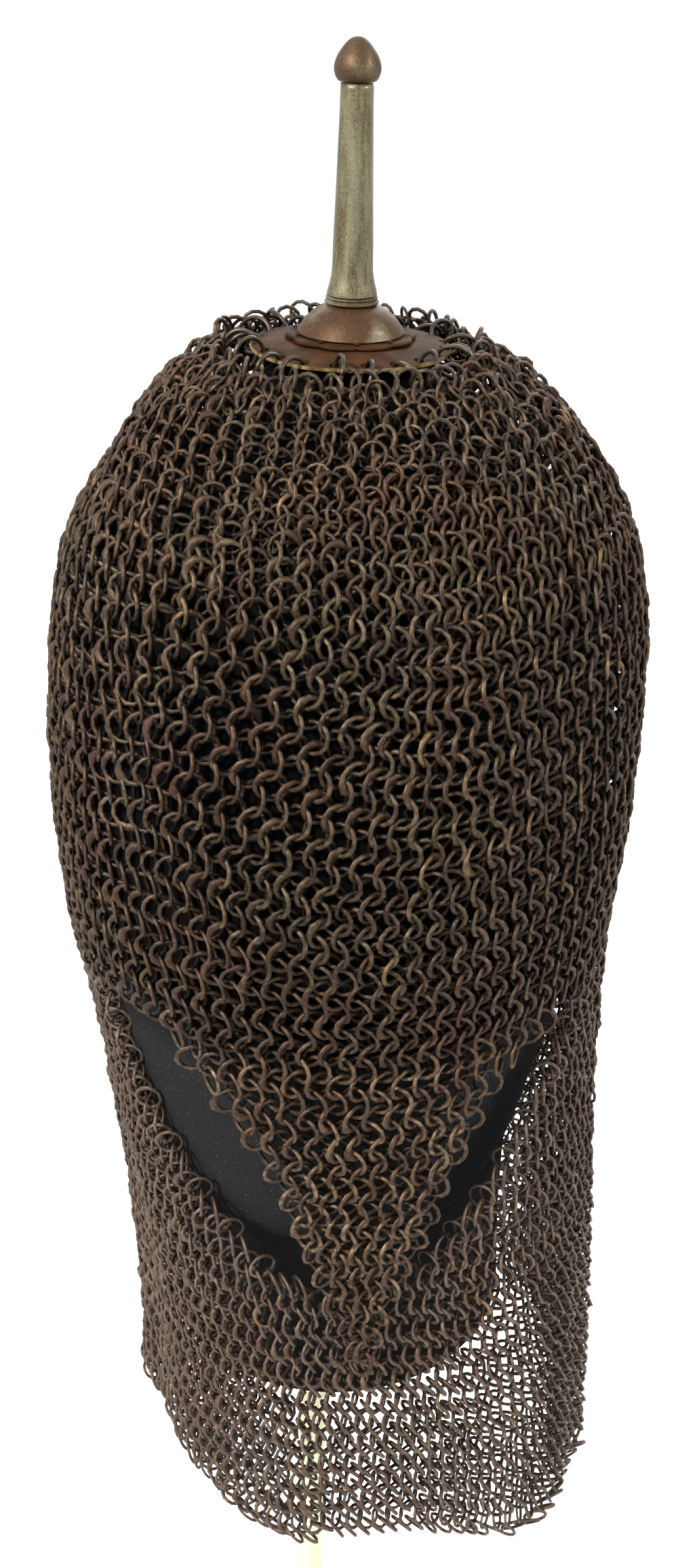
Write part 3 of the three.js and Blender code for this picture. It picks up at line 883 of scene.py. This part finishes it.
def ring_rows(rows, size, wire, tilt, wildness, pack=0.0, zigzag=0.0):
    """Ring frames for rows of (turn, drop, stand-off, closed, number).

    A ring's plane holds the way down the hood and a way along the row that is turned out of the
    surface by the tilt, to one side in even rows and to the other in odd ones. Where rows are packed
    close the rings are slack and hang steeper than the surface, by the pack angle. Where the net
    hangs loose its rows fold up and down by turns, by the zigzag angle. Angles are in degrees.
    """
    made = []
    for turn, drop, stand_off, closed, number in rows:
        count = len(turn)
        place = hood_point(turn, drop, stand_off)
        outward = hood_outward(turn, drop)
        lean = np.radians(value_at(tilt, turn, drop))[:, None]
        ring_radius = value_at(size, turn, drop)
        place = place - outward * (ring_radius[:, None] * np.sin(lean) + RING_SINK)
        if closed:
            along = np.roll(place, -1, 0) - np.roll(place, 1, 0)
        elif count > 1:
            along = np.gradient(place, axis=0)
        else:
            along = hood_point(turn + 1, drop) - hood_point(turn - 1, drop)
        along = unit(along - outward * (along * outward).sum(-1, keepdims=True))
        down = np.cross(along, outward)
        down = unit(np.where(down[:, 2:] > 0, -down, down))
        wild = value_at(wildness, turn, drop)[:, None]
        hand = -1 if number % 2 else 1
        angle = hand * lean + np.radians(wild * RING_TWIST * chance.normal(size=(count, 1)))
        nod = value_at(pack, turn, drop)[:, None] + wild * RING_NOD * chance.normal(size=(count, 1))
        nod = np.radians(nod + hand * value_at(zigzag, turn, drop)[:, None])
        across = along * np.cos(angle) + outward * np.sin(angle)
        down = unit(down * np.cos(nod) - outward * np.sin(nod))
        across = unit(across - down * (across * down).sum(-1, keepdims=True))
        place = place + wild * RING_STRAY * chance.normal(size=(count, 3))
        larger = 1 + SIZE_SPREAD * np.clip(chance.normal(size=count), -2, 2)
        thicker = 1 + WIRE_SPREAD * np.clip(chance.normal(size=count), -2, 2)
        made.append({
            "place": place, "across": across, "down": down, "outward": outward,
            "radius": ring_radius * larger, "wire": value_at(wire, turn, drop) * thicker,
            "turn": (turn + 180) % 360 - 180, "drop": np.broadcast_to(drop, turn.shape),
            "riveted": np.full(count, number % 2),
        })
    return {key: np.concatenate([row[key] for row in made]) for key in made[0]}


def ring_mesh(name, rings, material, node, steps=12, sides=5):
    """Closed wire rings: a section carried round a slightly oval circle, wide and flat at the lap."""
    count = len(rings["radius"])
    along = round_angles(steps)[None, :, None, None]
    section = round_angles(sides)[None, None, :, None]
    place, across, down = (rings[key][:, None, None, :] for key in ("place", "across", "down"))
    radius, wire = (rings[key][:, None, None, None] for key in ("radius", "wire"))
    riveted = rings["riveted"][:, None, None, None]
    one_each = (count, 1, 1, 1)
    lap_turn = math.pi + LAP_WANDER * chance.normal(size=one_each)
    lap_width = chance.uniform(*LAP_WIDTHS, one_each)
    oval_turn = chance.uniform(0, math.pi, one_each)
    oval = RING_OVAL * chance.normal(size=one_each).clip(-1.6, 1.6)
    lap = riveted * np.maximum(np.cos(along - lap_turn), 0) ** 8
    radial = np.cos(along) * across + np.sin(along) * down
    normal = np.cross(across, down)
    reach = radius * (1 + oval * np.cos(2 * (along - oval_turn)))
    wide = wire / 2 * (1 + lap_width * lap) * np.cos(section)
    thick = wire / 2 * (1 - 0.2 * lap) * np.sin(section)
    shape = radial * (reach + wide) + normal * thick
    # How far each point lies out from its ring's middle; the iron uses it to paint shade on the inward
    # arcs.
    outer = (shape * rings["outward"][:, None, None, :]).sum(-1, keepdims=True) / radius
    points = (place + shape).reshape(-1, 3)
    one_ring = net(steps + 1, sides) % (steps * sides)
    faces = (one_ring + (np.arange(count) * steps * sides)[:, None, None]).reshape(-1, 4)
    if volume(points, faces) < 0:
        faces = faces[:, ::-1]
    piece = add_piece(name, (points, [faces]), material, node)
    tone = chance.random(one_each)
    attribute = piece.data.attributes.new("ring", "FLOAT_VECTOR", "POINT")
    facts = (tone, 0.5 + outer, lap)
    shaped = np.concatenate([np.broadcast_to(fact, (count, steps, sides, 1)) for fact in facts], -1)
    attribute.data.foreach_set("vector", shaped.astype(np.float32).ravel())
    return piece


def mail_iron(name, dark, middle, light, rust, earth, shine, inside):
    """Old iron rings: each has its own tone, rust, earth and wear, and painted shade on the arcs that
    turn in.

    The arcs that lie inward, towards the hood, are painted dark as shade; the inside is the share of
    its colour that such an arc keeps.
    """
    finish = Finish(name)
    place = place_on_object(finish)
    facts = finish.node("ShaderNodeAttribute", {"attribute_name": "ring"}, {}, "Vector")
    tone, outer, lap = (
        finish.node("ShaderNodeSeparateXYZ", {}, {"Vector": facts}, axis) for axis in ("X", "Y", "Z")
    )
    patches = step(finish, grain(finish, place, 28, 3), 0.38, 0.64)
    scale = grain(finish, place, 1300, 4, 0.65)
    worn = step(finish, grain(finish, place, 420, 3), 0.44, 0.66)
    hue = finish.node("ShaderNodeMath", {"operation": "FRACT"}, {0: tone * 7.0})
    gold = finish.node("ShaderNodeMath", {"operation": "GREATER_THAN"}, {0: tone, 1: GOLD_ABOVE})
    ground = blend(finish, tone * 0.6 + worn * 0.4, dark, middle)
    rubbed = blend(finish, worn * tone, ground, light)
    earthy = blend(finish, hue * 0.4, rubbed, earth)
    rusted = blend(finish, patches * 0.4 + lap * 0.3, earthy, rust)
    flecks = step(finish, scale, 0.54, 0.64)
    flecked = blend(finish, flecks * 0.25, rusted, light)
    golden = blend(finish, gold * (0.2 + 0.5 * worn), flecked, (0.2, 0.125, 0.05))
    # Painted shade: each ring's inward arcs are blended towards near black, as if shaded by the rings
    # over them.
    unshaded_share = step(finish, outer, 0.2, 0.75)
    kept_from_painted_shade = inside + (1 - inside) * unshaded_share
    colour = blend(finish, kept_from_painted_shade, (0.006, 0.0035, 0.0025), golden)
    return finish.surface(
        Base_Color=colour,
        Metallic=shine,
        Roughness=0.34 + 0.34 * scale,
        Normal=bump(finish, scale, 0.16, 0.7),
    )

# The crown mail hangs from the hanger rings and is widened by extra rings as it comes down over
# the dome. It lies slack and heaped near the plate and is stretched by its own weight at the brow.

CROWN_RING = 4.4
CROWN_WIRE = 1.42
TOP_RING = 3.75
TOP_WIRE = 1.15
FIRST_ROW_RINGS = 46
SPLIT_DROP = 178.0
ABOVE_SPLIT = 3.6
CALM_WILDNESS = 0.4
HEAP_WILDNESS = 2.0
HEAP_DEPTH = 24.0
CROWN_TILT = 29.0
HEAP_TILT = 4.0
HEAP_TILT_DEPTH = 25.0
SIZES_GROW = (5, 60)
PULL_TURN = -7.0
PULL_DROP = 92.0
PULL_REACH = 58.0
PULL_ANGLE = 20.0
PULL_FALL = 1.6
PULL_STARTS = (12, 50)
PULL_ENDS = (140, 174)
BROW_DEGREE = 1.66
PACK_SHARE = 0.3
TOP_PIECE_DROP = 54.0
SIDE_TURN = 90.0
RING_CELL = 7.0 * 5.6
crown_pitch = table("drop pitch", [
    [0, 6.6], [30, 6.7], [60, 7.1], [100, 7.1], [140, 6.75], [178, 6.7],
])
crown_spacing = table("drop rows", [
    [0, 2.9], [32, 3.1], [45, 3.6], [58, 4.9], [80, 5.7], [100, 6.1], [140, 5.8], [178, 5.7],
])


def straight(rows, drop, name):
    """Straight lines through a table's rows."""
    return np.interp(drop, rows["drop"], rows[name])


def crown_drops():
    """Drops of the crown's rows, stepped down the mean of the hood's sides by each row's spacing."""
    drops = np.linspace(0, SPLIT_DROP - ABOVE_SPLIT, 400)
    turns = np.arange(0, 360, 30)
    sides = hood_point(turns[None, :], drops[:, None])
    lengths = np.linalg.norm(np.diff(sides, axis=0), axis=-1).mean(1)
    down = np.concatenate([[0], np.cumsum(lengths)])
    levels = [0.0]
    while levels[-1] < down[-1]:
        here = np.interp(levels[-1], down, drops)
        levels.append(levels[-1] + straight(crown_spacing, here, "rows"))
    fitted = np.array(levels) * down[-1] / levels[-1]
    return np.interp(fitted, down, drops)


def lean_rows(turn, drop):
    """The pull in the mail over the left brow: places turn about a point, less with distance."""
    across = (turn - PULL_TURN) * BROW_DEGREE
    below = drop - PULL_DROP
    far = (across**2 + below**2) / PULL_REACH**2
    fade = (1 - ease(drop, *PULL_ENDS)) * ease(drop, *PULL_STARTS)
    angle = np.radians(PULL_ANGLE) * np.exp(-(far**PULL_FALL)) * fade
    new_across = across * np.cos(angle) - below * np.sin(angle)
    new_below = across * np.sin(angle) + below * np.cos(angle)
    return PULL_TURN + new_across / BROW_DEGREE, PULL_DROP + new_below


def crown_rows():
    """The crown's rows from the plate down, each with the rings that its length round asks for."""
    shares = np.arange(FIRST_ROW_RINGS) / FIRST_ROW_RINGS
    rows = []
    for number, drop in enumerate(crown_drops()):
        turns, length = row_turns(drop, shares)
        if number:
            shares = next_row(shares, round(length / straight(crown_pitch, drop, "pitch")))
            turns, length = row_turns(drop, shares)
        turns, drops = lean_rows(turns, np.full(len(turns), drop))
        rows.append((turns, drops, 0.0, True, number))
    return rows, shares


crown_row_list, last_shares = crown_rows()


def crown_wildness(turn, drop):
    """How unruly the rings lie: heaped and crossed at the plate, calm on the brow."""
    return CALM_WILDNESS + HEAP_WILDNESS * np.exp(-drop / HEAP_DEPTH)


def crown_pack(turn, drop):
    """The angle by which packed rings stand up, from the share of their room that is left."""
    room = straight(crown_spacing, drop, "rows") / crown_spacing["rows"].max()
    return PACK_SHARE * np.degrees(np.arccos(np.clip(room, 0, 1)))


def crown_tilt(turn, drop):
    """How far a ring is turned out of the surface: a little more where the mail is heaped."""
    return CROWN_TILT + HEAP_TILT * np.exp(-drop / HEAP_TILT_DEPTH)


def crown_size(turn, drop):
    """The rings' radius: smaller ones near the plate."""
    return TOP_RING + (CROWN_RING - TOP_RING) * ease(drop, *SIZES_GROW)


def crown_wire(turn, drop):
    """The wire's thickness: thinner near the plate."""
    return TOP_WIRE + (CROWN_WIRE - TOP_WIRE) * ease(drop, *SIZES_GROW)


def some_of(rings, chosen):
    """The chosen rings alone."""
    return {key: values[chosen] for key, values in rings.items()}


def add_mail(name, rings, iron, node, width_mm):
    """One piece of the net; its width and the area of its rings laid flat are worked out but not used.
    """
    piece = ring_mesh(name, rings, iron, node)
    area = len(rings["turn"]) * RING_CELL * MM * MM
    width = width_mm * MM
    area / width


crown_iron = mail_iron(
    "crown_iron", (0.0135, 0.0074, 0.0048), (0.047, 0.0265, 0.0155), (0.17, 0.115, 0.07),
    (0.052, 0.018, 0.009), (0.05, 0.044, 0.02), 0.6, 0.22,
)
crown_rings = ring_rows(
    crown_row_list, crown_size, crown_wire, crown_tilt, crown_wildness, crown_pack
)
upper = crown_rings["drop"] < TOP_PIECE_DROP
ahead = abs(crown_rings["turn"]) < SIDE_TURN
for name, chosen, width in (
    ("crown_mail_top", upper, 400),
    ("crown_mail_front", ~upper & ahead, 300),
    ("crown_mail_back", ~upper & ~ahead, 300),
):
    chosen_rings = some_of(crown_rings, chosen)
    add_mail(name, chosen_rings, crown_iron, "mail_crown", width)

# The face flap is the front of the same net, narrowed at both sides to a point over the mouth.
# It hangs free in front of the form and its rows draw together towards the tip.

BELOW_SPLIT = 2.0
FLAP_ROOT_HALF = 110.0
FLAP_END_DROP = 299.0
FLAP_TILT = 31.0
TIP_TILT = 8.0
TIP_TILTS = (220, 290)
TIP_KICK = -35.0
TIP_KICKS = (290, 298)
FLAP_WILDNESS = 0.6
flap = table("drop left right stand_off", [
    [SPLIT_DROP, -52, 75, 0],
    [185, -44, 60.5, 0.9],
    [190, -38, 50.4, 1.4],
    [196, -31.5, 44.3, 2],
    [203, -25.2, 41, 2.6],
    [212, -18.4, 36.8, 3.3],
    [220, -13.8, 32.6, 3.8],
    [228, -10.4, 29.6, 4.2],
    [236, -7.7, 27.7, 4.5],
    [244, -5.4, 25.4, 4.6],
    [252, -2.8, 22.4, 5.2],
    [260, 0, 19.7, 5.5],
    [268, 2.6, 17, 5.8],
    [276, 5.6, 14.9, 6.1],
    [284, 8, 13.6, 6.8],
    [292, 9.8, 12.2, 7.4],
    [300, 9.6, 11.6, 7.8],
])
flap_pitch = table("drop pitch", [[178, 6.5], [215, 5.9], [245, 4.9], [268, 4.4], [302, 4.3]])
flap_spacing = table("drop rows", [[178, 5.6], [215, 5.3], [245, 5.1], [302, 5.6]])


def halfway(lengths, pitch):
    """The middles between neighbours in a row, with one more place beyond each end."""
    middles = (lengths[1:] + lengths[:-1]) / 2
    return np.concatenate([[lengths[0] - pitch / 2], middles, [lengths[-1] + pitch / 2]])


def flap_rows(first_lengths, first_number):
    """Rows of the flap: each ring below the gap between two above, fitted between the two edges."""
    lengths = first_lengths
    drop = SPLIT_DROP + BELOW_SPLIT
    number = first_number
    rows = []
    while drop < FLAP_END_DROP:
        left, right = between(flap, drop, "left"), between(flap, drop, "right")
        pitch = straight(flap_pitch, drop, "pitch")
        count = max(int(round((right - left) / pitch)) + 1, 1)
        places = halfway(lengths, pitch)
        nearest = np.argsort(abs(places - (left + right) / 2), kind="stable")[:count]
        lengths = np.sort(places[nearest])
        if len(lengths) > 1:
            part = (lengths - lengths[0]) / (lengths[-1] - lengths[0])
            lengths = lengths + (left - lengths[0]) * (1 - part) + (right - lengths[-1]) * part
        else:
            lengths = np.array([(left + right) / 2])
        turns = np.interp(lengths, *round_the_hood(drop)[::-1])
        stand_off = between(flap, drop, "stand_off")
        rows.append((turns, np.full(len(turns), drop), stand_off, False, number))
        drop += straight(flap_spacing, drop, "rows")
        number += 1
    return rows


def flap_tilt(turn, drop):
    """Rings are turned out of the surface a little more towards the tip."""
    return FLAP_TILT + TIP_TILT * ease(drop, *TIP_TILTS)


def flap_kick(turn, drop):
    """The lower sides of the tip's last rings stand out."""
    return TIP_KICK * ease(drop, *TIP_KICKS)


# Painted light: the flap's iron is a lighter copy of the crown's, for the light that falls on the flap
# where it hangs out in front of the form.
lit_flap_iron = mail_iron(
    "lit_flap_iron", (0.026, 0.014, 0.009), (0.105, 0.061, 0.038), (0.3, 0.205, 0.13),
    (0.06, 0.023, 0.011), (0.07, 0.055, 0.03), 0.65, 0.2,
)
last_turns, last_drops = crown_row_list[-1][:2]
last_lengths = np.sort(np.interp(last_turns, *round_the_hood(last_drops[0])))
root_lengths = last_lengths[abs(last_lengths) < FLAP_ROOT_HALF]
flap_row_list = flap_rows(root_lengths, len(crown_row_list))
flap_rings = ring_rows(
    flap_row_list, crown_size, crown_wire, flap_tilt, FLAP_WILDNESS, flap_kick
)
add_mail("face_flap_mail", flap_rings, lit_flap_iron, "mail_face_flap", 150)

# The neck curtain is a second net of duller rings, joined to the crown's edge from temple round to
# temple. It hangs round the neck, meets itself under the chin and ends in a row of loose rings.

opening = table("drop left right", [
    [SPLIT_DROP, -90, 92],
    [190, -87.6, 87.8],
    [200, -85, 80.5],
    [206, -82.4, 73.8],
    [212, -78.4, 68.8],
    [220, -71.5, 63.6],
    [228, -64, 58.2],
    [236, -55, 51.5],
    [244, -45.6, 44.8],
    [252, -37, 39.1],
    [260, -29.4, 33.6],
    [268, -20.5, 25.5],
    [273, -8, 10],
])
HEM_DROP = 404.0
CHIN_TURN = -4.0
BACK_SEAM_TURN = 125.0
CURTAIN_RING = 4.1
CURTAIN_WIRE = 1.18
CURTAIN_ZIGZAG = 32.0
ZIGZAG_GROWS = (250, 300)
CURTAIN_SPACING = 5.85
CURTAIN_RINGS = 110
ADDED_RINGS = 8
CURTAIN_TILT = 46.0
HEM_TILT = -20.0
CURTAIN_WILDNESS = 0.6
HEM_WILDNESS = 0.85
ABOVE_HEM = 3.5
EDGE_REACH = 26.0
HEM_RISE = 11.0
HEM_RISE_FROM = 320.0
HEM_RISE_TURN = 9.0
HEM_RISE_WIDTH = 15.0
LOOSE_RING_GROWTH = 0.32


def curtain_rows(shares, first_number):
    """Rows of the curtain: whole rounds, cut where the face is open and drawn to its two edges."""
    rows = []
    first, last = SPLIT_DROP + BELOW_SPLIT, HEM_DROP - ABOVE_HEM
    count = round((last - first) / CURTAIN_SPACING) + 1
    for number, drop in enumerate(np.linspace(first, last, count), first_number):
        shares = next_row(shares, min(len(shares) + ADDED_RINGS, CURTAIN_RINGS))
        turns, length = round_the_hood(drop)
        places = length[0] + np.sort(shares) * (length[-1] - length[0])
        closed = drop > opening["drop"][-1]
        if not closed:
            left, right = between(opening, drop, "left"), between(opening, drop, "right")
            left_part = places[places < left + CURTAIN_RING / 2]
            right_part = places[places > right - CURTAIN_RING / 2]
            left_far, right_far = (left - left_part) / EDGE_REACH, (right_part - right) / EDGE_REACH
            left_part += (left - left_part[-1]) * np.exp(-left_far ** 2)
            right_part += (right - right_part[0]) * np.exp(-right_far ** 2)
            places = np.concatenate([right_part, left_part])
        turned_places = np.interp(places, length, turns)
        away = (turned_places - HEM_RISE_TURN) / HEM_RISE_WIDTH
        rise = HEM_RISE * np.exp(-(away**2)) * ease(drop, HEM_RISE_FROM, HEM_DROP)
        rows.append((turned_places, drop - rise, 0.0, closed, number))
    return rows


def curtain_size(turn, drop):
    """The rings' radius: one size, but for a few larger loose rings in the last row."""
    loose = (drop > HEM_DROP - 5) & (np.sin(turn * 0.61 + 1) > 0.9)
    return CURTAIN_RING * (1 + LOOSE_RING_GROWTH * loose)


def at_hem(drop):
    """1 in the hem's last row and nearly 0 above it."""
    return ease(drop, HEM_DROP - 10, HEM_DROP - 4)


def curtain_tilt(turn, drop):
    """Rings are turned well out of the surface, and less in the last row."""
    return CURTAIN_TILT + HEM_TILT * at_hem(drop)


def curtain_wildness(turn, drop):
    """The last row's rings hang loose."""
    return CURTAIN_WILDNESS + HEM_WILDNESS * at_hem(drop)


def curtain_zigzag(turn, drop):
    """Below the jaw the net hangs loose, and its rows fold up and down."""
    return CURTAIN_ZIGZAG * ease(drop, *ZIGZAG_GROWS)


# The curtain's iron is duller, and partly painted light: its lighter colours stand for the light that
# reaches it from below and the sides, and its inner arcs keep more of their colour.
curtain_iron = mail_iron(
    "curtain_iron", (0.034, 0.0195, 0.0135), (0.1, 0.0625, 0.0425), (0.19, 0.14, 0.1),
    (0.08, 0.037, 0.022), (0.085, 0.073, 0.05), 0.35, 0.55,
)
curtain_row_list = curtain_rows(last_shares, len(crown_row_list))
curtain_rings = ring_rows(
    curtain_row_list, curtain_size, CURTAIN_WIRE, curtain_tilt, curtain_wildness,
    zigzag=curtain_zigzag,
)
beyond_seam = abs(curtain_rings["turn"]) > BACK_SEAM_TURN
to_the_left = ~beyond_seam & (curtain_rings["turn"] < CHIN_TURN)
for name, chosen, width, node in (
    ("curtain_mail_left", to_the_left, 220, "mail_curtain_left"),
    ("curtain_mail_right", ~beyond_seam & ~to_the_left, 220, "mail_curtain_right"),
    ("curtain_mail_back", beyond_seam, 200, "mail_curtain_back"),
):
    chosen_rings = some_of(curtain_rings, chosen)
    add_mail(name, chosen_rings, curtain_iron, node, width)
